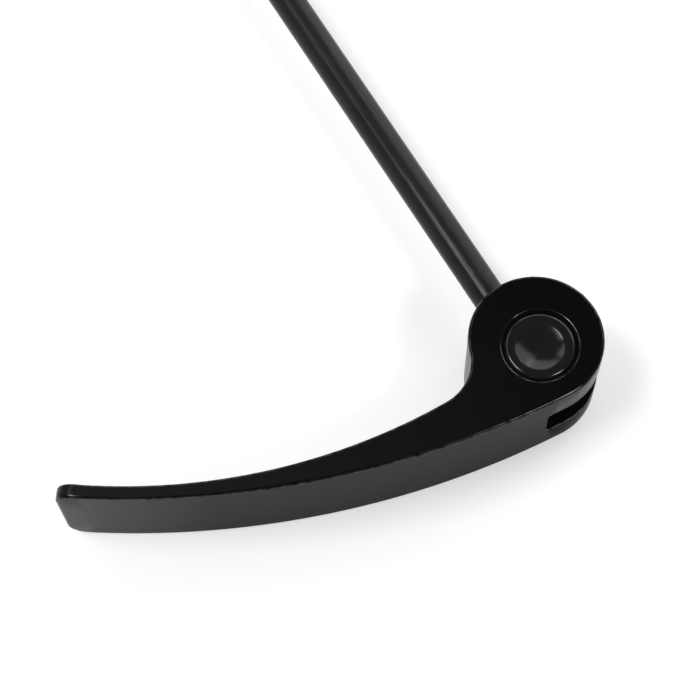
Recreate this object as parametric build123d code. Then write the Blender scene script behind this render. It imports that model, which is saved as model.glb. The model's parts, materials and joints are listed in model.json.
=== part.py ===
from build123d import *
import os
from math import acos, cos, degrees, radians

# Cam lever of a quick-release skewer, in millimetres, drawn closed and lying on its lower cheek.
# The rod's axis is +Y. The origin lies on that axis, in the plane where the cam head bears on what
# it clamps. +Z is the barrel's axis, so the lever swings in the XY plane.

# Rod
rod_diameter = 5.0
rod_reach = 120.0          # from the clamped face to the free end
rod_thread_length = 28.0   # thread at the free end, for the adjusting nut
thread_diameter = 4.48     # each thread is a cylinder of its pitch diameter
rod_end_chamfer = 0.6
rod_seat_depth = 3.6       # how far the rod goes on past the barrel's axis

# Barrel: the round cross pin that the lever turns on and the rod is screwed into
barrel_diameter = 10.0
barrel_recess = 0.1        # how far each end face lies inside its cheek
barrel_edge_round = 0.45
dish_diameter = 7.4        # shallow dish turned in each end face
dish_floor_diameter = 5.8
dish_depth = 0.55
thread_play = 0.03         # radial gap between the rod's inner thread and the barrel

# Cam head
lever_width = 16.2         # across both cheeks, which is also the width of the handle's blade
head_radius = 9.5
cam_offset = 1.2           # from the barrel's axis to the centre of the round head
cam_lead = 6.0             # degrees that the cam's high point is past the rod when closed
bore_play = 0.05           # radial running clearance on the barrel
bore_chamfer = 0.45
slot_side_play = 0.4       # from the rod to each cheek
slot_floor_play = 0.8      # from the rod to the slot's floor, closed and fully open
slot_edge_bevel = 0.2

# Handle
handle_reach = 70.0        # from the barrel's axis to the tip's corner on the long convex side
handle_angle = 77.4        # degrees between the rod and the line from the barrel to that corner, closed
outer_bow_radius = 131.0   # long convex side, seen along the barrel
neck_share = 0.26          # places along the convex side, from the head (0) to the tip (1)
middle_share = 0.6
neck_thickness = 5.7       # handle's thickness at those places and at the tip
middle_thickness = 2.72
tip_thickness = 2.2
tip_corner_radius = 2.8
throat_radius = 7.0
edge_round = 0.45

rod_radius = rod_diameter / 2
thread_radius = thread_diameter / 2
barrel_radius = barrel_diameter / 2
barrel_length = lever_width - 2 * barrel_recess
slot_width = rod_diameter + 2 * slot_side_play
slot_floor = -(rod_radius + slot_floor_play)
beyond = 2 * (head_radius + cam_offset)   # longer than the head, for cutting tools


def toward(start, end):
    """Unit vector from one point to another."""
    return (end - start).normalized()


def between_circles(first_center, first_radius, second_center, second_radius):
    """Where two circles meet, on the left of the line from the first centre to the second."""
    span = (second_center - first_center).length
    turn = degrees(acos((first_radius**2 + span**2 - second_radius**2) / (2 * first_radius * span)))
    return first_center + toward(first_center, second_center).rotate(Axis.Z, turn) * first_radius


def arc_about(center, start, end):
    """The shorter arc about a centre, from start to end."""
    middle = toward(center, (start + end) / 2) * (start - center).length
    return ThreePointArc(start, center + middle, end)


# Points and centres, seen along +Z
pivot = Vector(0, -(head_radius + cam_offset * cos(radians(cam_lead))))
head_center = pivot + Vector(0, cam_offset).rotate(Axis.Z, -cam_lead)
tip = pivot + Vector(0, handle_reach).rotate(Axis.Z, handle_angle)
outer_center = between_circles(tip, outer_bow_radius, head_center, outer_bow_radius - head_radius)
head_low = head_center + toward(outer_center, head_center) * head_radius
bow_turn = (head_low - outer_center).get_angle(tip - outer_center)


def inner_point(share, thickness):
    """Point on the handle's hollow side, a thickness in from a place along the convex side."""
    place = (head_low - outer_center).rotate(Axis.Z, -share * bow_turn)
    return outer_center + place.normalized() * (outer_bow_radius - thickness)


tip_inner = inner_point(1, tip_thickness)
hollow_side = ThreePointArc(
    inner_point(neck_share, neck_thickness), inner_point(middle_share, middle_thickness), tip_inner
)
inner_center = hollow_side.arc_center
throat_center = between_circles(
    head_center, head_radius + throat_radius, inner_center, hollow_side.radius - throat_radius
)


def lever_outline():
    """Round head, throat, hollow side, tip and convex side; only the tip has corners."""
    head_throat = head_center + toward(head_center, throat_center) * head_radius
    throat_end = inner_center + toward(inner_center, throat_center) * hollow_side.radius
    sides = [
        ThreePointArc(head_low, head_center + Vector(head_radius, 0), head_throat),
        arc_about(throat_center, head_throat, throat_end),
        arc_about(inner_center, throat_end, tip_inner),
        Line(tip_inner, tip),
        arc_about(outer_center, tip, head_low),
    ]
    return make_face(sides)


def lever_blank():
    """The solid lever with its tip corners and its long edges rounded."""
    blank = extrude(lever_outline(), lever_width / 2, both=True)
    tip_middle = (tip + tip_inner) / 2
    tip_sides = blank.faces().sort_by_distance(tip_middle)[0].edges().sort_by(Axis.Z)
    blank = fillet([tip_sides[0], tip_sides[-1]], tip_corner_radius)
    tip_sides = blank.faces().sort_by_distance(tip_middle)[0].edges().filter_by(Axis.Z)
    curved_edges = [edge for edge in blank.edges() if edge.geom_type != GeomType.LINE]
    return fillet(curved_edges + list(tip_sides), edge_round)


def bored_blank():
    """The rounded blank with the barrel's bore through both cheeks and a bevel at each mouth."""
    bore_radius = barrel_radius + bore_play
    bored = lever_blank() - Pos(pivot.X, pivot.Y, 0) * Cylinder(bore_radius, lever_width)
    mouths = [
        edge
        for edge in bored.edges().filter_by(GeomType.CIRCLE)
        if abs(edge.radius - bore_radius) < bore_play / 2
    ]
    return chamfer(mouths, bore_chamfer)


def make_lever():
    """Forked eccentric head and bowed handle, forged in one piece and then bored and slotted."""
    bored = bored_blank()
    slot = Box(beyond, 2 * beyond, slot_width, align=(Align.MIN, Align.CENTER, Align.CENTER))
    slot = Pos(pivot.X + slot_floor, pivot.Y, 0) * slot
    forked = bored - slot
    rim_side = (barrel_radius + head_radius) / 2
    lips = [
        edge
        for edge in new_edges(bored, slot, combined=forked).filter_by(GeomType.CIRCLE)
        if edge.distance_to(pivot) > rim_side
    ]
    return chamfer(lips, slot_edge_bevel)


def make_barrel():
    """Round cross pin with rounded ends, a shallow dish in each and a cross hole for the rod."""
    half = barrel_length / 2
    floor = half - dish_depth
    section = Polyline(
        (0, -floor),
        (dish_floor_diameter / 2, -floor),
        (dish_diameter / 2, -half),
        (barrel_radius, -half),
        (barrel_radius, half),
        (dish_diameter / 2, half),
        (dish_floor_diameter / 2, floor),
        (0, floor),
        close=True,
    )
    turned = revolve(Plane.XZ * make_face(section), Axis.Z)
    ends = turned.edges().filter_by(GeomType.CIRCLE)
    ends = ends.filter_by(lambda edge: edge.radius > (dish_diameter + barrel_diameter) / 4)
    turned = fillet(ends, barrel_edge_round)
    cross_hole = Rot(X=90) * Cylinder(thread_radius + thread_play, 2 * barrel_diameter)
    return Pos(pivot.X, pivot.Y, 0) * (turned - cross_hole)


def make_rod():
    """Plain shank with a thread at each end, turned about +Y."""
    inner_end = pivot.Y - rod_seat_depth
    shank_end = rod_reach - rod_thread_length
    run_out = rod_radius - thread_radius
    section = Polyline(
        (0, inner_end),
        (thread_radius, inner_end),
        (thread_radius, -run_out),
        (rod_radius, 0),
        (rod_radius, shank_end),
        (thread_radius, shank_end + run_out),
        (thread_radius, rod_reach - rod_end_chamfer),
        (thread_radius - rod_end_chamfer, rod_reach),
        (0, rod_reach),
        close=True,
    )
    return revolve(make_face(section), Axis.Y)


os.makedirs("parts", exist_ok=True)
export_step(make_lever(), "parts/lever.step")
export_step(make_barrel(), "parts/barrel.step")
export_step(make_rod(), "parts/rod.step")
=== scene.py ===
# %% [markdown]
# # Dressing a cam lever
# The object is the cam lever of a quick-release skewer: a black alloy lever with an off-centre round
# head, a steel barrel that it turns on, and a long black rod screwed into that barrel.
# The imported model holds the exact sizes, so it is loaded first and everything is fitted to it.

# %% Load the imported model
import json
from math import cos, pi, radians, sin

import bmesh
import bpy
from mathutils import Matrix, Quaternion, Vector
from mathutils.geometry import intersect_line_line, intersect_sphere_sphere_2d


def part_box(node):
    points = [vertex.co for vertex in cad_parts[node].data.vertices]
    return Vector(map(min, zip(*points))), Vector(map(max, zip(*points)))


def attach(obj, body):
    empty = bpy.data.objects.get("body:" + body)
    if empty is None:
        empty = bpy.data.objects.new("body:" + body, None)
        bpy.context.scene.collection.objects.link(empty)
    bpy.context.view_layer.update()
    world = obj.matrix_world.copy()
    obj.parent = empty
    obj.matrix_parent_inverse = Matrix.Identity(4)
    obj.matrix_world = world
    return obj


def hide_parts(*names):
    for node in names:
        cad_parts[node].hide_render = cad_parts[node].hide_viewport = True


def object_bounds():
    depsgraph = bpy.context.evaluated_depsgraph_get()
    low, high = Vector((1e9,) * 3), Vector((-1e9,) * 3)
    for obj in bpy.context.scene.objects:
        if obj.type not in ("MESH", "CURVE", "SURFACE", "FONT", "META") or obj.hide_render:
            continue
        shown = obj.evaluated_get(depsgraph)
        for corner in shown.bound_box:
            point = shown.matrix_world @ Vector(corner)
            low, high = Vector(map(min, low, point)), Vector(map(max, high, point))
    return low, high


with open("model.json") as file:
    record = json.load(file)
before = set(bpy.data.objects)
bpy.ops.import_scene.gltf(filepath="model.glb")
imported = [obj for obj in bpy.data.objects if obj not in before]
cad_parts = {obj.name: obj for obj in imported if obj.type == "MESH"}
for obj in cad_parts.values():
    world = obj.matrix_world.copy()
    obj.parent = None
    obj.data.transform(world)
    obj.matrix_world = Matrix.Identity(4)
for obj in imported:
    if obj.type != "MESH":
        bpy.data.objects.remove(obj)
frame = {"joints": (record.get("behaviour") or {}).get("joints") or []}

MM = 0.001
cad_low, cad_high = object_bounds()
print("box of the packed model, mm:", [round(v / MM, 2) for v in cad_high - cad_low])

# %% [markdown]
# ## Where things are
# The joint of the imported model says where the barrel's axis is, and the boxes of its nodes say how
# wide the lever is and how far the rod goes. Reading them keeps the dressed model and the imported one
# together when a size changes.

# %% Read the main places
pivot = Vector(frame["joints"][0]["pos_m"])
lever_low, lever_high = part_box("lever")
barrel_low, barrel_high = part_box("barrel")
rod_low, rod_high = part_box("rod")
half_width = (lever_high.z - lever_low.z) / 2
print("barrel's axis at y, mm:", round(pivot.y / MM, 3))
print("half of the lever's width, mm:", round(half_width / MM, 3))

# %% [markdown]
# ## The camera
# A lens of about 100 mm, 27 cm away, looks down on the upper cheek from the handle's outer side.
# The place comes from the point that it looks at and two angles, which are easier to change than
# three coordinates. The last turn tips the picture a little to one side.

# %% Place the camera
look_at = Vector((-22.96 * MM, 2.27 * MM, half_width))
camera_heading = radians(-28.007)
camera_elevation = radians(67.922)
camera_tip = radians(2.803)
camera_distance = 273.2 * MM

toward_camera = Vector(
    (
        sin(camera_heading) * cos(camera_elevation),
        -cos(camera_heading) * cos(camera_elevation),
        sin(camera_elevation),
    )
)
camera_data = bpy.data.cameras.new("camera")
camera_data.lens = 101.383
camera_data.sensor_width = 36
camera = bpy.data.objects.new("camera", camera_data)
camera.location = look_at + toward_camera * camera_distance
camera.rotation_mode = "QUATERNION"
level = (-toward_camera).to_track_quat("-Z", "Y")
camera.rotation_quaternion = level @ Quaternion((0, 0, 1), -camera_tip)
bpy.context.scene.collection.objects.link(camera)
bpy.context.scene.camera = camera
print("camera at, mm:", [round(v / MM, 1) for v in camera.location])

# %% [markdown]
# ## Helpers for every piece
# Operators want to be told which edges they work on. It is safest to pick edges by where they are,
# because their numbers change with every step, so one helper does that everywhere.
# An edge whose two faces meet at more than 25 degrees stays sharp, and the rest is shaded smooth.


# %% Pick edges and mark creases
def edges_where(bm, test):
    """The edges whose two ends both pass a test."""
    return [e for e in bm.edges if test(e.verts[0].co) and test(e.verts[1].co)]


def mark_creases(bm, angle=radians(25)):
    """Smooth faces, with a sharp edge wherever two faces meet at more than the angle."""
    for face in bm.faces:
        face.smooth = True
    for edge in bm.edges:
        edge.smooth = len(edge.link_faces) < 2 or edge.calc_face_angle(0) < angle


print("helpers:", edges_where.__name__, mark_creases.__name__)

# %% [markdown]
# A piece starts as a bmesh. When it is done, its doubles are merged, its faces are turned outwards and
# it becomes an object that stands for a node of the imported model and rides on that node's body.
# A closed solid has two faces at every edge, and the faces round each vertex make one fan. Both are
# counted, because two parts that touch at one vertex have no open edge and still aren't a solid.
# A bevel numbers its new vertices a little differently each time. Sorting vertices and faces by their
# place gives them the same order in every run.


# %% Turn a bmesh into a piece
def make_piece(name, bm, body, node):
    """Cleans a bmesh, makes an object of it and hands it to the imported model."""
    bmesh.ops.remove_doubles(bm, verts=bm.verts[:], dist=0.002 * MM)
    bmesh.ops.recalc_face_normals(bm, faces=bm.faces[:])
    slant = Vector((1, 0.6180339, 0.4142136))
    bm.verts.sort(key=lambda v: v.co.dot(slant))
    bm.faces.sort(key=lambda f: f.calc_center_median().dot(slant))
    mark_creases(bm)
    open_edges = sum(1 for e in bm.edges if len(e.link_faces) != 2)
    pinched = sum(1 for v in bm.verts if not v.is_manifold)
    volume = round(bm.calc_volume(signed=True) / MM**3, 1)
    print(name, "faces:", len(bm.faces), "volume, mm3:", volume)
    print("  open edges:", open_edges, "pinched vertices:", pinched)
    mesh = bpy.data.meshes.new(name)
    bm.to_mesh(mesh)
    bm.free()
    piece = bpy.data.objects.new(name, mesh)
    bpy.context.scene.collection.objects.link(piece)
    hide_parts(node)
    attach(piece, body)
    return piece


print("a piece is a closed solid when it has no open edge and no pinched vertex")

# %% [markdown]
# ## The lever's outline
# Seen along the barrel, the lever is a closed chain of arcs: the round head, the small hollow throat,
# the handle's long hollow side, a short straight tip and the long convex side. The head's centre is
# 1.2 mm off the barrel's axis, and that is what clamps.

# %% Sizes of the outline
head_radius = 9.5 * MM
cam_offset = 1.2 * MM
cam_lead = radians(6)
handle_reach = 70 * MM
handle_angle = radians(77.4)
outer_bow_radius = 131 * MM
throat_radius = 7 * MM
neck_share, neck_thickness = 0.26, 5.7 * MM
middle_share, middle_thickness = 0.6, 2.72 * MM
tip_thickness = 2.2 * MM
tip_straight = 4 * MM
print("the cam lifts, mm:", round(2 * cam_offset / MM, 2))

# %% [markdown]
# Two circles that touch have their centres as far apart as their radii add up to, or differ by. So
# every centre is a crossing of two circles round places that are already known, and no coordinate
# has to be worked out by hand.


# %% Centre of the head and of the convex side
def turned(vector, angle):
    """A copy of a vector turned about Z."""
    return Matrix.Rotation(angle, 3, "Z") @ vector


def crossing(first, first_radius, second, second_radius):
    """Where two circles meet, on the left of the line between their centres."""
    points = intersect_sphere_sphere_2d(first.xy, first_radius, second.xy, second_radius)
    across = (second - first).to_2d().orthogonal()
    return max((Vector((*p, 0)) for p in points), key=lambda p: (p - first).xy.dot(across))


head_center = pivot + turned(Vector((0, cam_offset, 0)), -cam_lead)
tip = pivot + turned(Vector((0, handle_reach, 0)), handle_angle)
outer_center = crossing(tip, outer_bow_radius, head_center, outer_bow_radius - head_radius)
head_low = head_center + (head_center - outer_center).normalized() * head_radius
bow_turn = (head_low - outer_center).angle(tip - outer_center)
print("the convex side turns, degrees:", round(bow_turn * 180 / pi, 2))

# %% [markdown]
# The hollow side is one arc through three places, each a known thickness away from the convex side.
# Its centre is where the middle lines of two chords cross. The throat's small circle touches both the
# head and the hollow side.


# %% Hollow side and throat
def inner_point(share, thickness):
    """A place on the hollow side, from the head (share 0) to the tip (share 1)."""
    ray = turned(head_low - outer_center, -share * bow_turn).normalized()
    return outer_center + ray * (outer_bow_radius - thickness)


def arc_center(a, b, c):
    """Centre of the arc through three points."""
    up = Vector((0, 0, 1))
    first, second = (a + b) / 2, (b + c) / 2
    meeting = intersect_line_line(
        first, first + (b - a).cross(up), second, second + (c - b).cross(up)
    )
    return meeting[0]


tip_inner = inner_point(1, tip_thickness)
neck_inner = inner_point(neck_share, neck_thickness)
middle_inner = inner_point(middle_share, middle_thickness)
hollow_center = arc_center(neck_inner, middle_inner, tip_inner)
hollow_radius = (tip_inner - hollow_center).length
throat_center = crossing(
    head_center, head_radius + throat_radius, hollow_center, hollow_radius - throat_radius
)
head_throat = head_center + (throat_center - head_center).normalized() * head_radius
throat_end = hollow_center + (throat_center - hollow_center).normalized() * hollow_radius
print("radius of the hollow side, mm:", round(hollow_radius / MM, 1))

# %% [markdown]
# Each arc starts as one vertex that bmesh.ops.spin drags round a centre. Only the centres and the ends
# have to be known for that, and the number of steps sets how fine the arc is.
# The last stretch before the tip is left as one straight edge on each side. It is so short that the
# bow doesn't show in it, and the rounding of the tip's corners then has one clean edge to run along.


# %% Draw the outline
def drag_arc(bm, start, center, end, longest):
    """Spins the vertex start about a centre to the point end, and returns the last vertex."""
    a, b = start.co - center, end - center
    angle = a.angle(b) * (1 if a.cross(b).z > 0 else -1)
    steps = max(1, round(abs(angle) * a.length / longest))
    spun = bmesh.ops.spin(
        bm, geom=[start], cent=center, axis=(0, 0, 1), angle=angle, steps=steps
    )
    return spun["geom_last"][0]


hollow_stop = hollow_center + turned(tip_inner - hollow_center, tip_straight / hollow_radius)
outer_start = outer_center + turned(tip - outer_center, tip_straight / outer_bow_radius)

tight_step, long_step = 0.5 * MM, 1.5 * MM
bm = bmesh.new()
v = bmesh.ops.create_vert(bm, co=head_low)["vert"][0]
for point in (Vector((head_radius, 0, 0)), Vector((0, head_radius, 0)), head_throat - head_center):
    v = drag_arc(bm, v, head_center, head_center + point, tight_step)
v = drag_arc(bm, v, throat_center, throat_end, tight_step)
v = drag_arc(bm, v, hollow_center, hollow_stop, long_step)
for corner in (tip_inner, tip, outer_start):
    new = bmesh.ops.create_vert(bm, co=corner)["vert"][0]
    bm.edges.new((v, new))
    v = new
v = drag_arc(bm, v, outer_center, head_low, long_step)
bmesh.ops.remove_doubles(bm, verts=bm.verts[:], dist=0.01 * MM)
print("outline: vertices", len(bm.verts), "edges", len(bm.edges))

# %% [markdown]
# ## Bore and slot
# The barrel's bore is a circle in the same drawing: a vertex spun a full turn, with use_merge to
# close it. The rod swings in a slot that is open towards the far side of the head. bisect_plane cuts
# the drawing along the line of the slot's floor, which gives both circles a vertex just there.

# %% Draw the bore and cut at the slot's floor
bore_radius = 5.05 * MM
slot_floor = -3.3 * MM
half_slot = 2.9 * MM

bore_start = bmesh.ops.create_vert(bm, co=pivot + Vector((bore_radius, 0, 0)))["vert"][0]
bmesh.ops.spin(
    bm, geom=[bore_start], cent=pivot, axis=(0, 0, 1), angle=2 * pi, steps=96, use_merge=True
)
bmesh.ops.bisect_plane(
    bm, geom=bm.verts[:] + bm.edges[:], dist=0.001 * MM,
    plane_co=(slot_floor, 0, 0), plane_no=(1, 0, 0),
)
on_floor = sorted(
    (v for v in bm.verts if abs(v.co.x - slot_floor) < 0.002 * MM), key=lambda v: v.co.y
)
print("vertices on the floor's line:", len(on_floor))

# %% [markdown]
# Two edges along that line part the drawing into two loops, and edgeloop_fill makes a face of each:
# the closed part with the handle, and the part that later keeps only its two cheeks.

# %% Fill the two faces
floor_lines = [bm.edges.new(on_floor[-2:]), bm.edges.new(on_floor[-4:-2])]
for side in (-1, 1):
    loop = [
        e for e in bm.edges
        if e not in floor_lines and (e.verts[0].co + e.verts[1].co).x / 2 * side > slot_floor * side
    ]
    bmesh.ops.edgeloop_fill(bm, edges=loop + floor_lines)
bmesh.ops.translate(bm, verts=bm.verts[:], vec=(0, 0, half_width))
print("corners of the two faces:", [len(f.verts) for f in bm.faces])

# %% [markdown]
# ## Half a lever, then its mirror image
# Both halves of the lever are alike, so only the upper one is extruded: both faces down to the slot's
# wall, and then the handle's face alone down to the middle. The last cap is taken off and the half is
# mirrored, which closes the solid.


# %% Extrude the upper half and mirror it
def push(bm, faces, depth):
    """Extrudes faces down by a depth and returns the new caps."""
    out = bmesh.ops.extrude_face_region(bm, geom=faces)["geom"]
    bmesh.ops.translate(
        bm, verts=[g for g in out if isinstance(g, bmesh.types.BMVert)], vec=(0, 0, -depth)
    )
    return [g for g in out if isinstance(g, bmesh.types.BMFace)]


caps = push(bm, bm.faces[:], half_width - half_slot)
handle_cap = min(caps, key=lambda f: min(v.co.x for v in f.verts))
middle_cap = push(bm, [handle_cap], half_slot)
bmesh.ops.delete(bm, geom=middle_cap + [handle_cap], context="FACES_ONLY")
bmesh.ops.mirror(bm, geom=bm.verts[:] + bm.edges[:] + bm.faces[:], axis="Z", merge_dist=0)
bmesh.ops.remove_doubles(bm, verts=bm.verts[:], dist=0.001 * MM)
bmesh.ops.recalc_face_normals(bm, faces=bm.faces[:])
print("lever before its edges are eased, mm3:", round(bm.calc_volume() / MM**3, 1))

# %% [markdown]
# ## Easing the edges
# A forged lever has no sharp edge where a hand meets it, and its black coat wears to a shine there.
# So the helper that rounds edges also writes down how worn the new faces are, in a value on each
# vertex that the coat's material reads later.


# %% A bevel that remembers wear
hair = 0.01 * MM


def ease(bm, edges, size, segments, wear=0.0):
    """Rounds edges (or bevels them, with one segment), and marks how worn the new edge is."""
    made = bmesh.ops.bevel(
        bm, geom=edges, offset=size, offset_type="OFFSET", segments=segments, profile=0.5,
        affect="EDGES", material=-1, clamp_overlap=False,
    )["faces"]
    worn = bm.verts.layers.float.get("edge_wear") or bm.verts.layers.float.new("edge_wear")
    made = set(made)
    for v in {v for f in made for v in f.verts}:
        v[worn] = wear if all(f in made for f in v.link_faces) else 0.0
    return made


def outside(point):
    """Is this point on the lever's outside, and not in the bore?"""
    return (point - pivot).xy.length > bore_radius + 1 * MM


def at_slot(point):
    """Is this point on a wall or on the floor of the slot?"""
    return abs(point.z) < half_slot + hair and point.x > slot_floor - hair


def on_flat(point):
    """Is this point on one of the lever's two flat sides?"""
    return abs(point.z) > half_width - hair


print("places are compared to within, mm:", hair / MM)

# %% [markdown]
# The largest roundings come first. A cutter leaves its own radius in the corners of the slot's floor,
# and the far end of the blade has two generously rounded corners, so that it doesn't catch on cloth.
# The slot's roundings end just on vertices of the outline. The doubles are merged at once, because a
# later bevel would round the edge of no length between them and pinch the mesh there.

# %% Round the slot's inner corners and the blade's corners
floor_corners = edges_where(
    bm, lambda p: abs(abs(p.z) - half_slot) < hair and abs(p.x - slot_floor) < hair
)
ease(bm, floor_corners, 0.5 * MM, 4)
bmesh.ops.remove_doubles(bm, verts=bm.verts[:], dist=0.002 * MM)


def at_tip(point):
    """Is this point on a corner of the blade's end?"""
    return min((point - tip).xy.length, (point - tip_inner).xy.length) < 2 * hair


tip_corners = edges_where(bm, lambda p: at_tip(p) and on_flat(p))
ease(bm, tip_corners, 2.8 * MM, 10)
print("corner edges in the slot:", len(floor_corners), "and at the tip:", len(tip_corners))

# %% [markdown]
# Then every edge round the outside is rounded by 0.45 mm in one go. They are found by the angle
# between their faces, and the edges of the slot are left out.

# %% Round the outside edges
edge_round = 0.45 * MM
in_slot = edges_where(bm, at_slot)
long_edges = [
    e for e in edges_where(bm, outside) if e.calc_face_angle() > radians(30) and e not in in_slot
]
rounded = ease(bm, long_edges, edge_round, 6, wear=1.4)
print("edges rounded:", len(long_edges), "new faces:", len(rounded))

# %% [markdown]
# The bore's mouths get a plain bevel whose outer edge is broken a little, because that thin broken
# edge is what catches the light.


# %% Bevel the bore's mouths
def mouth_circle(bm, radius):
    """The circles of a radius round the barrel's axis, on the lever's two flat sides."""
    return edges_where(
        bm,
        lambda p: abs((p - pivot).xy.length - radius) < 3 * hair and on_flat(p),
    )


bore_bevel = 0.45 * MM
bore_mouths = mouth_circle(bm, bore_radius)
ease(bm, bore_mouths, bore_bevel, 1)
ease(bm, mouth_circle(bm, bore_radius + bore_bevel), 0.1 * MM, 3, wear=3.0)
print("edges at the bore:", len(bore_mouths))

# %% [markdown]
# The slot's lips are eased as a file would leave them: every edge where the rim meets the slot.

# %% Ease the slot's lips
lips = [
    e for e in edges_where(bm, lambda p: at_slot(p) and outside(p))
    if e.calc_face_angle(0) > radians(60)
]
ease(bm, lips, 0.2 * MM, 3, wear=4.0)
print("edges at the slot's lips:", len(lips))

# %% [markdown]
# A smooth-shaded flat face borrows its neighbours' tilt at its border. A very narrow ring of faces
# just inside each flat side, and one along each border of the rim, keep that to a hair's width.

# %% Keep the flat sides flat and the rim straight
ring_width = 0.06 * MM
for side in (1, -1):
    flat = [
        f for f in bm.faces
        if f.normal.z * side > 0.9999 and on_flat(f.calc_center_median())
    ]
    bmesh.ops.inset_region(
        bm, faces=flat, thickness=ring_width, use_even_offset=True, use_boundary=True
    )
border = half_width - edge_round - ring_width
for height in (border, -border):
    bmesh.ops.bisect_plane(
        bm, geom=bm.verts[:] + bm.edges[:] + bm.faces[:], dist=0.001 * MM,
        plane_co=(0, 0, height), plane_no=(0, 0, 1),
    )
print("faces of the lever:", len(bm.faces))

# %% [markdown]
# A finger pulls the blade open by its far end, so the rounded corners there are a little polished too.

# %% Wear at the tip, and the finished lever
worn = bm.verts.layers.float["edge_wear"]
for v in bm.verts:
    if (v.co - tip).xy.length < 3.2 * MM and abs(v.normal.z) > 0.3:
        v[worn] = max(v[worn], 0.2)
lever = make_piece("cam_lever", bm, "lever", "lever")

# %% [markdown]
# ## The barrel
# The barrel is a turned pin with a shallow bowl in each end. Its half section is an arc for the bowl,
# drawn by spin as before, and two straight edges for the end and the side. A full spin makes half of
# the barrel and a mirror the rest.

# %% Spin the barrel
barrel_radius = 5 * MM
barrel_half = (barrel_high.z - barrel_low.z) / 2
dish_radius, dish_slope = 3.6 * MM, radians(19)
bowl_radius = dish_radius / sin(dish_slope)
bowl_center = pivot + Vector((0, 0, barrel_half + bowl_radius * cos(dish_slope)))

bm = bmesh.new()
bottom = bmesh.ops.create_vert(bm, co=bowl_center - Vector((0, 0, bowl_radius)))["vert"][0]
chain = bmesh.ops.spin(
    bm, geom=[bottom], cent=bowl_center, axis=(0, -1, 0), angle=dish_slope, steps=12
)["geom_last"][:1]
for height in (barrel_half, 0):
    chain += bmesh.ops.create_vert(bm, co=pivot + Vector((barrel_radius, 0, height)))["vert"]
for pair in zip(chain, chain[1:]):
    bm.edges.new(pair)
bmesh.ops.spin(
    bm, geom=bm.verts[:] + bm.edges[:], cent=pivot, axis=(0, 0, 1), angle=2 * pi, steps=96,
    use_merge=True,
)
bmesh.ops.mirror(bm, geom=bm.verts[:] + bm.edges[:] + bm.faces[:], axis="Z", merge_dist=0)
bmesh.ops.remove_doubles(bm, verts=bm.verts[:], dist=0.001 * MM)
bmesh.ops.recalc_face_normals(bm, faces=bm.faces[:])
print("depth of the barrel's dish, mm:", round(bowl_radius * (1 - cos(dish_slope)) / MM, 2))

# %% [markdown]
# The outer edge of each end and the edge of each bowl are rounded after the spin, ring by ring. It is
# quicker than drawing small arcs into the section.


# %% Round the barrel's edges
def end_ring(bm, radius):
    """The edges of one ring on each end of the barrel."""
    return edges_where(
        bm,
        lambda p: abs((p - pivot).xy.length - radius) < hair
        and abs(abs(p.z) - barrel_half) < hair,
    )


ease(bm, end_ring(bm, barrel_radius), 0.55 * MM, 6, wear=0.6)
ease(bm, end_ring(bm, dish_radius), 0.25 * MM, 4, wear=0.3)
barrel = make_piece("barrel_pin", bm, "skewer", "barrel")

# %% [markdown]
# ## The rod
# The shank is plain and each end has a thread, M5 with a pitch of 0.8 mm: one end is screwed into the
# barrel and the other takes the nut. A thread could be a texture, but its grooves show against a pale
# ground, so it is modelled.

# %% Sizes of the rod and its thread
shank_radius = 2.5 * MM
pitch = 0.8 * MM
crest_radius, root_radius = 2.45 * MM, 2.01 * MM
thread_steps = 36
runout_slope = 0.45
shank_start, shank_end = -0.1 * MM, 92 * MM
thread_section = [
    (root_radius, 0), (root_radius, 1 / 4), (crest_radius, 9 / 16), (crest_radius, 11 / 16),
    (root_radius, 1),
]
print("depth of the thread, mm:", round((crest_radius - root_radius) / MM, 2))

# %% [markdown]
# A thread is one pitch of its section, spun about the rod while dvec lifts it by a pitch each turn.
# The helix is made a turn too long at both ends and cut square, so that its ends are clean circles.
# Before the cut, the grooves are filled up towards the shank, where the die runs out, and the crests
# are taken down towards the free end, which makes the chamfer that helps a nut on.


# %% Make a thread
def thread(shank_y, end_y, chamfer):
    """A thread from the shank's end to the rod's end, which may lie either way along the rod."""
    low, high = sorted((shank_y, end_y))
    turns = round((high - low) / pitch) + 3
    bm = bmesh.new()
    chain = [
        bmesh.ops.create_vert(bm, co=(r, low + (t - 1.5) * pitch, 0))["vert"][0]
        for r, t in thread_section
    ]
    bmesh.ops.spin(
        bm, geom=chain + [bm.edges.new(pair) for pair in zip(chain, chain[1:])], cent=(0, 0, 0),
        axis=(0, 1, 0), angle=2 * pi * turns, steps=thread_steps * turns,
        dvec=(0, pitch / thread_steps, 0),
    )
    bmesh.ops.remove_doubles(bm, verts=bm.verts[:], dist=0.003 * MM)
    for v in bm.verts:
        radius = v.co.xz.length
        from_shank = (v.co.y - shank_y) * (1 if end_y > shank_y else -1)
        from_end = high - low - from_shank
        wanted = max(radius, shank_radius - runout_slope * max(from_shank, 0))
        wanted = min(wanted, crest_radius - chamfer + max(from_end, 0))
        v.co.xz *= wanted / radius
    for height, side in ((high, 1), (low, -1)):
        bmesh.ops.bisect_plane(
            bm, geom=bm.verts[:] + bm.edges[:] + bm.faces[:], dist=0.0005 * MM,
            plane_co=(0, height, 0), plane_no=(0, side, 0), clear_outer=True,
        )
    print("thread from", round(low / MM, 1), "to", round(high / MM, 1), "mm, faces:", len(bm.faces))
    return bm


inner_end = rod_low.y
bm = bmesh.new()
for part in (thread(shank_start, inner_end, 0.5 * MM), thread(shank_end, rod_high.y, 0.75 * MM)):
    temporary = bpy.data.meshes.new("thread")
    part.to_mesh(temporary)
    part.free()
    bm.from_mesh(temporary)
    bpy.data.meshes.remove(temporary)

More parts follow.
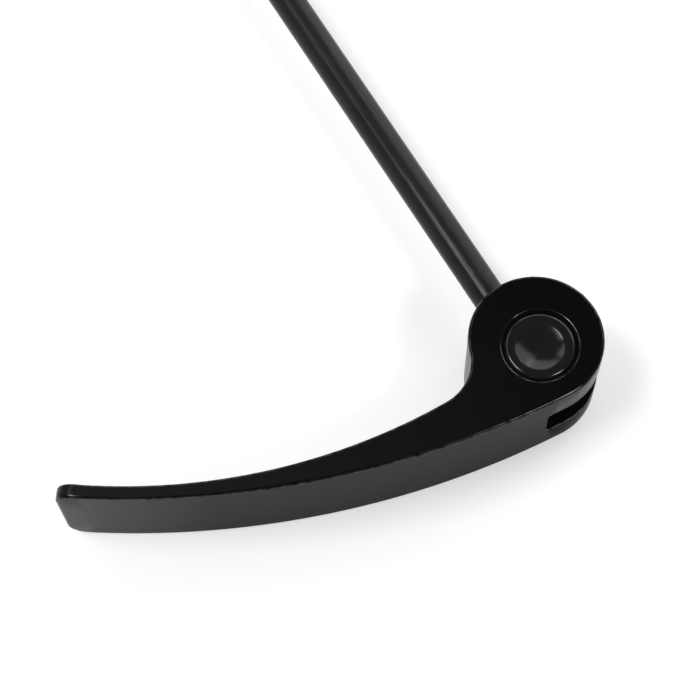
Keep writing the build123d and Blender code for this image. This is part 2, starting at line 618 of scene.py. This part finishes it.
# %% [markdown]
# Both threads are in one mesh now. Short collars keep the shank's ends straight, and bridge_loops
# makes the shank between them, although the two loops differ in their number of vertices.
# Two faces close the ends.


# %% Join the threads with the shank
def rim_at(bm, height):
    """The open edges at a height along the rod."""
    return [
        e for e in bm.edges
        if e.is_boundary and all(abs(v.co.y - height) < hair for v in e.verts)
    ]


collars = []
for height, step in ((shank_start, 0.4 * MM), (shank_end, -0.4 * MM)):
    grown = bmesh.ops.extrude_edge_only(bm, edges=rim_at(bm, height))["geom"]
    ring = [g for g in grown if isinstance(g, bmesh.types.BMVert)]
    bmesh.ops.translate(bm, verts=ring, vec=(0, step, 0))
    collars += [g for g in grown if isinstance(g, bmesh.types.BMEdge)]
bmesh.ops.bridge_loops(bm, edges=collars)
for height in (inner_end, rod_high.y):
    bmesh.ops.edgeloop_fill(bm, edges=rim_at(bm, height))
rod = make_piece("skewer_rod", bm, "skewer", "rod")

# %% [markdown]
# ## Finishes
# All three pieces are black, but not alike: the lever has a satin coat, the barrel is blackened turned
# steel, and the rod has a duller oxide with fine drawn lines. Each material is the plain Principled
# shader with noises on it, so the look comes from numbers and needs no image.
# The patterns read the piece's own coordinates and so stay put when the lever turns.


# %% Helpers for materials: places and noises
def new_material(name):
    material = bpy.data.materials.new(name)
    material.use_nodes = True
    nodes = material.node_tree.nodes
    return material, nodes, material.node_tree.links, nodes["Principled BSDF"]


def own_coordinates(nodes, links, offset=(0, 0, 0), scale=(1, 1, 1)):
    """The piece's own coordinates, in metres, moved and stretched."""
    place = nodes.new("ShaderNodeTexCoord")
    mapping = nodes.new("ShaderNodeMapping")
    mapping.inputs["Location"].default_value = offset
    mapping.inputs["Scale"].default_value = scale
    links.new(place.outputs["Object"], mapping.inputs["Vector"])
    return mapping.outputs["Vector"]


def noise(nodes, links, vector, scale, detail):
    texture = nodes.new("ShaderNodeTexNoise")
    texture.inputs["Scale"].default_value = scale
    texture.inputs["Detail"].default_value = detail
    links.new(vector, texture.inputs["Vector"])
    return texture.outputs["Fac"]


print("a noise of scale 180 has patches of about, mm:", round(1 / 180 / MM, 1))

# %% [markdown]
# Most wiring is the same few steps: stretch a value to another range, join two values, blend two
# colours, and tilt the surface a little by a height.


# %% Helpers for materials: values and colours
def spread(nodes, links, value, low, high, from_low=0.0, from_high=1.0):
    """Stretches a value from one range to another, and stops it at both ends."""
    remap = nodes.new("ShaderNodeMapRange")
    remap.inputs["From Min"].default_value = from_low
    remap.inputs["From Max"].default_value = from_high
    remap.inputs["To Min"].default_value = low
    remap.inputs["To Max"].default_value = high
    links.new(value, remap.inputs["Value"])
    return remap.outputs["Result"]


def combine(nodes, links, operation, first, second, clamp=False):
    """Joins two values by a Math node's operation, such as ADD or MAXIMUM."""
    node = nodes.new("ShaderNodeMath")
    node.operation = operation
    node.use_clamp = clamp
    links.new(first, node.inputs[0])
    links.new(second, node.inputs[1])
    return node.outputs[0]


def blend(nodes, links, value, first, second):
    """From one colour to another as a value goes from 0 to 1."""
    ramp = nodes.new("ShaderNodeValToRGB")
    ramp.color_ramp.elements[0].color = (*first, 1)
    ramp.color_ramp.elements[1].color = (*second, 1)
    links.new(value, ramp.inputs["Fac"])
    return ramp.outputs["Color"]


def bump(nodes, links, height, distance, strength):
    """Tilts the surface as if it had this height."""
    node = nodes.new("ShaderNodeBump")
    node.inputs["Strength"].default_value = strength
    node.inputs["Distance"].default_value = distance
    links.new(height, node.inputs["Height"])
    return node.outputs["Normal"]


print("helpers:", [f.__name__ for f in (spread, combine, blend, bump)])

# %% [markdown]
# The bevels left a value called edge_wear on their vertices. A patchy noise breaks it up, so that an
# edge is polished here and there and not evenly.


# %% Helpers for materials: wear
def edge_mark(nodes):
    """The wear that the bevels wrote down."""
    mark = nodes.new("ShaderNodeAttribute")
    mark.attribute_name = "edge_wear"
    return mark.outputs["Fac"]


def patchy_wear(nodes, links, place, scale):
    """The same wear, broken up by a noise."""
    patches = spread(nodes, links, noise(nodes, links, place, scale, 2), 0, 0.4, 0.3, 0.7)
    return combine(nodes, links, "MULTIPLY", edge_mark(nodes), patches)


most_worn = max(d.value for d in lever.data.attributes["edge_wear"].data)
print("largest wear on the lever:", round(most_worn, 2))

# %% [markdown]
# ## The lever's satin coat
# The coat is nearly black. Its colour is painted a shade lighter towards the blade's end, a painted
# reflection of
# the brighter light that the flat side catches there, but not on the rounded edges, which are polished
# instead:
# they keep the dark colour and reflect more. A coat's shine is set with Specular IOR Level, and it is a
# bit stronger on the upper side and at the blade's end, where the lever is held.
# The Mix node has sockets of its own for each kind of value. Those for colours are inputs 6 and 7 and
# output 2.

# %% Satin black coat
coat, nodes, links, shader = new_material("satin_black_coat")
place = own_coordinates(nodes, links)
cloud = noise(nodes, links, place, 180, 4)
grain = noise(nodes, links, place, 5200, 3)
along = nodes.new("ShaderNodeSeparateXYZ")
links.new(place, along.inputs[0])

# Painted reflection: the base colour gets lighter towards the blade's end, except on the rounded edges.
to_tip = spread(nodes, links, along.outputs["X"], 1.0, 0.0, -66 * MM, 2 * MM)
painted_tip_light = combine(nodes, links, "SUBTRACT", to_tip, edge_mark(nodes), clamp=True)
dark = blend(nodes, links, cloud, (0.0027, 0.0027, 0.0029), (0.0042, 0.0042, 0.0044))
mix = nodes.new("ShaderNodeMix")
mix.data_type = "RGBA"
links.new(painted_tip_light, mix.inputs["Factor"])
links.new(dark, mix.inputs[6])
mix.inputs[7].default_value = (0.012, 0.012, 0.0122, 1)
links.new(mix.outputs[2], shader.inputs["Base Color"])

held = spread(nodes, links, along.outputs["X"], 0.03, 0.0, -68 * MM, -50 * MM)
upper = spread(nodes, links, along.outputs["Z"], 0.0135, 0.0225, -half_width, half_width)
shine = combine(nodes, links, "ADD", held, upper)
shine = combine(nodes, links, "ADD", shine, patchy_wear(nodes, links, place, 900))
links.new(shine, shader.inputs["Specular IOR Level"])
links.new(spread(nodes, links, cloud, 0.15, 0.21, 0.3, 0.7), shader.inputs["Roughness"])
links.new(bump(nodes, links, grain, 0.006 * MM, 0.6), shader.inputs["Normal"])
lever.data.materials.append(coat)
print("coat: nodes", len(nodes), "links", len(links))

# %% [markdown]
# ## The barrel's turned steel
# A lathe tool leaves fine rings. A wave texture in rings round the barrel's axis tilts the surface, and
# a Mapping node brings that axis to the middle of the pattern.

# %% Blackened turned steel
steel, nodes, links, shader = new_material("blackened_turned_steel")
place = own_coordinates(nodes, links, offset=-pivot)
cloud = noise(nodes, links, place, 400, 4)
rings = nodes.new("ShaderNodeTexWave")
rings.wave_type = "RINGS"
rings.rings_direction = "Z"
rings.inputs["Scale"].default_value = 900
rings.inputs["Distortion"].default_value = 0.6
links.new(place, rings.inputs["Vector"])

links.new(
    blend(nodes, links, cloud, (0.007, 0.007, 0.0072), (0.0105, 0.0105, 0.0108)),
    shader.inputs["Base Color"],
)
shine = spread(nodes, links, patchy_wear(nodes, links, place, 1200), 0.29, 1.29)
links.new(shine, shader.inputs["Specular IOR Level"])
links.new(spread(nodes, links, cloud, 0.11, 0.17, 0.3, 0.7), shader.inputs["Roughness"])
links.new(bump(nodes, links, rings.outputs["Fac"], 0.004 * MM, 0.5), shader.inputs["Normal"])
barrel.data.materials.append(steel)
print("steel: nodes", len(nodes), "links", len(links))

# %% [markdown]
# ## The rod's oxide
# Wire is drawn through a die, which leaves lines along it. They are a noise that is stretched fifty
# times along Y. As bump, they spread a lamp's reflection round the rod and not along it.

# %% Dull black oxide
oxide, nodes, links, shader = new_material("dull_black_oxide")
cloud = noise(nodes, links, own_coordinates(nodes, links), 250, 4)
lines = noise(nodes, links, own_coordinates(nodes, links, scale=(1, 0.02, 1)), 6000, 2)
links.new(
    blend(nodes, links, cloud, (0.015, 0.015, 0.0146), (0.0225, 0.022, 0.0215)),
    shader.inputs["Base Color"],
)
links.new(spread(nodes, links, lines, 0.1, 0.15, 0.3, 0.7), shader.inputs["Roughness"])
shader.inputs["Specular IOR Level"].default_value = 0.12
links.new(bump(nodes, links, lines, 0.03 * MM, 1.0), shader.inputs["Normal"])
rod.data.materials.append(oxide)
print("oxide: nodes", len(nodes), "links", len(links))

# %% [markdown]
# ## The stage
# The lever lies on a sheet of white paper. The sheet is one large face, a hair below the lever.

# %% Floor
bm = bmesh.new()
sheet_half = 0.45
bmesh.ops.create_grid(bm, x_segments=1, y_segments=1, size=sheet_half)
bmesh.ops.translate(bm, verts=bm.verts[:], vec=(0, 0, cad_low.z - 0.02 * MM))
floor_mesh = bpy.data.meshes.new("floor")
bm.to_mesh(floor_mesh)
bm.free()
floor = bpy.data.objects.new("floor", floor_mesh)
bpy.context.scene.collection.objects.link(floor)
print("floor at z, mm:", round(floor_mesh.vertices[0].co.z / MM, 2))

# %% [markdown]
# White paper under lamps that are right for the lever would come out light grey. A little glow lifts it
# to white, but only for rays that come from the camera, from a reflection or through glass. The glow
# lights nothing, and the paper keeps the object's shadow.

# %% White paper
paper, nodes, links, shader = new_material("white_paper")
shader.inputs["Base Color"].default_value = (0.7, 0.7, 0.7, 1)
shader.inputs["Roughness"].default_value = 0.9
shader.inputs["Specular IOR Level"].default_value = 0.0
shader.inputs["Emission Color"].default_value = (1, 1, 1, 1)
path = nodes.new("ShaderNodeLightPath")
seen = combine(
    nodes, links, "MAXIMUM", path.outputs["Is Camera Ray"], path.outputs["Is Glossy Ray"]
)
seen = combine(nodes, links, "MAXIMUM", seen, path.outputs["Is Transmission Ray"])
glow = 0.4
links.new(spread(nodes, links, seen, 0.0, glow), shader.inputs["Emission Strength"])
floor.data.materials.append(paper)
print("paper: nodes", len(nodes), "links", len(links))

# %% [markdown]
# ## Light
# The room is white at the horizon and dark overhead. Black, smooth things are drawn by what they
# reflect, so the dark ceiling is what keeps the flat side black.

# %% World
world = bpy.data.worlds.new("studio")
bpy.context.scene.world = world
world.use_nodes = True
nodes, links = world.node_tree.nodes, world.node_tree.links
place = nodes.new("ShaderNodeTexCoord")
separate = nodes.new("ShaderNodeSeparateXYZ")
links.new(place.outputs["Generated"], separate.inputs[0])
ramp = nodes.new("ShaderNodeValToRGB")
ramp.color_ramp.elements[0].color = (1, 1, 1, 1)
ramp.color_ramp.elements[1].color = (0.06, 0.06, 0.06, 1)
ramp.color_ramp.elements[1].position = 0.6
ramp.color_ramp.elements.new(0.3).color = (0.25, 0.25, 0.25, 1)
links.new(separate.outputs["Z"], ramp.inputs["Fac"])
links.new(ramp.outputs["Color"], nodes["Background"].inputs["Color"])
print("steps of the room's brightness:", [round(e.position, 2) for e in ramp.color_ramp.elements])

# %% [markdown]
# Five softboxes stand round the lever.
# A hollow bowl is lit on the side that lies opposite the lamp: the left box makes the bright arc on
# the bowl's right wall, the right box lights its left wall and the back box its front.
# The left box also draws the streak on the rod. Two of its sides lie across the rod, so the streak
# fades partway along. The back-left box keeps the rod's far part from going dark, and the front one
# brightens the inside of the slot, the ring round the bore and the rim of the barrel.


# %% Softboxes
def softbox(name, direction, width, height, power, across_rod=False, distance=0.9):
    """A rectangular lamp in a direction from the object, turned towards it."""
    lamp = bpy.data.lights.new(name, "AREA")
    lamp.shape = "RECTANGLE"
    lamp.size = width
    lamp.size_y = height
    lamp.energy = power
    box = bpy.data.objects.new(name, lamp)
    direction = Vector(direction).normalized()
    box.location = Vector((-20 * MM, 0, 0)) + direction * distance
    box.rotation_euler = (-direction).to_track_quat("-Z", "Y").to_euler()
    if across_rod:
        width_axis = Vector((0, 1, 0)).cross(direction).normalized()
        axes = (width_axis, direction.cross(width_axis), direction)
        box.rotation_euler = Matrix(axes).transposed().to_euler()
    bpy.context.scene.collection.objects.link(box)
    return box


boxes = [
    softbox("left_softbox", (-0.42, 0.21, 0.87), 0.32, 0.36, 4.4, across_rod=True),
    softbox("back_left_softbox", (-0.25, 0.6, 0.76), 0.6, 0.2, 1.0),
    softbox("front_softbox", (0.26, -0.6, 0.76), 0.24, 0.18, 2.5),
    softbox("right_softbox", (0.84, 0.29, 0.46), 0.5, 0.85, 2.7),
    softbox("back_softbox", (0.45, 0.66, 0.6), 0.6, 0.3, 1.3),
]
print("lamps:", len(boxes), "together, watts:", round(sum(b.data.energy for b in boxes), 1))

# %% [markdown]
# ## View
# The Standard view shows colours as they are set.

# %% Set the Standard view
bpy.context.scene.view_settings.view_transform = "Standard"
